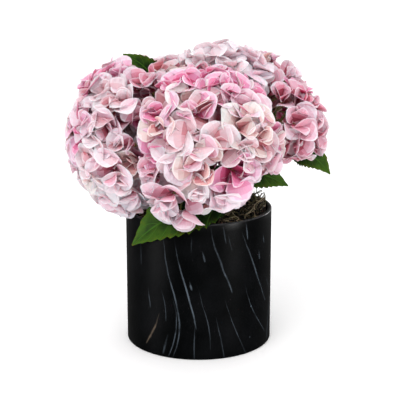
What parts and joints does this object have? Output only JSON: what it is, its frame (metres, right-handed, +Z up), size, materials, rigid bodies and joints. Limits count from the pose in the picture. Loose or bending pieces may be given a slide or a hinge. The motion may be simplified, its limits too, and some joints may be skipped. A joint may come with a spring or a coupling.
{
  "type": "artificial hydrangea arrangement in a pot",
  "caption": "Artificial hydrangea: dense mophead blooms and toothed leaves on a forked stem, set in foam under moss in a straight round pot.",
  "frame": {"origin": "centre of the pot's flat underside", "axes": "+Z up, -Y towards the front of the arrangement, +X to its right as seen from the front"},
  "size_m": [0.2728, 0.2536, 0.3126],
  "materials": {
    "pot": "satin black ceramic with a printed marble vein",
    "foam": "open-cell florist's foam",
    "moss": "dry curly moss fibres",
    "stem": "moulded plastic over wire",
    "leaf": "coated polyester cloth with pressed veins",
    "petal": "heat-formed polyester cloth, dyed rose at the claw and pale at the rim"
  },
  "bodies": {
    "root": {"pot": "pot", "foam": "foam", "moss": "moss", "trunk": "stem", "bough_front": "stem", "bough_left": "stem", "bough_top": "stem", "bough_right": "stem", "bough_back_left": "stem", "bough_back_right": "stem", "leaf_front_low": "leaf", "leaf_right_low": "leaf", "leaf_right": "leaf", "leaf_top_left": "leaf", "leaf_right_gap": "leaf", "leaf_left_low": "leaf", "leaf_back_left_low": "leaf", "leaf_back_low": "leaf", "leaf_back_right_low": "leaf", "leaf_back_gap": "leaf", "bloom_front": "petal", "bloom_left": "petal", "bloom_top": "petal", "bloom_right": "petal", "bloom_back_left": "petal", "bloom_back_right": "petal"}
  },
  "joints": []
}
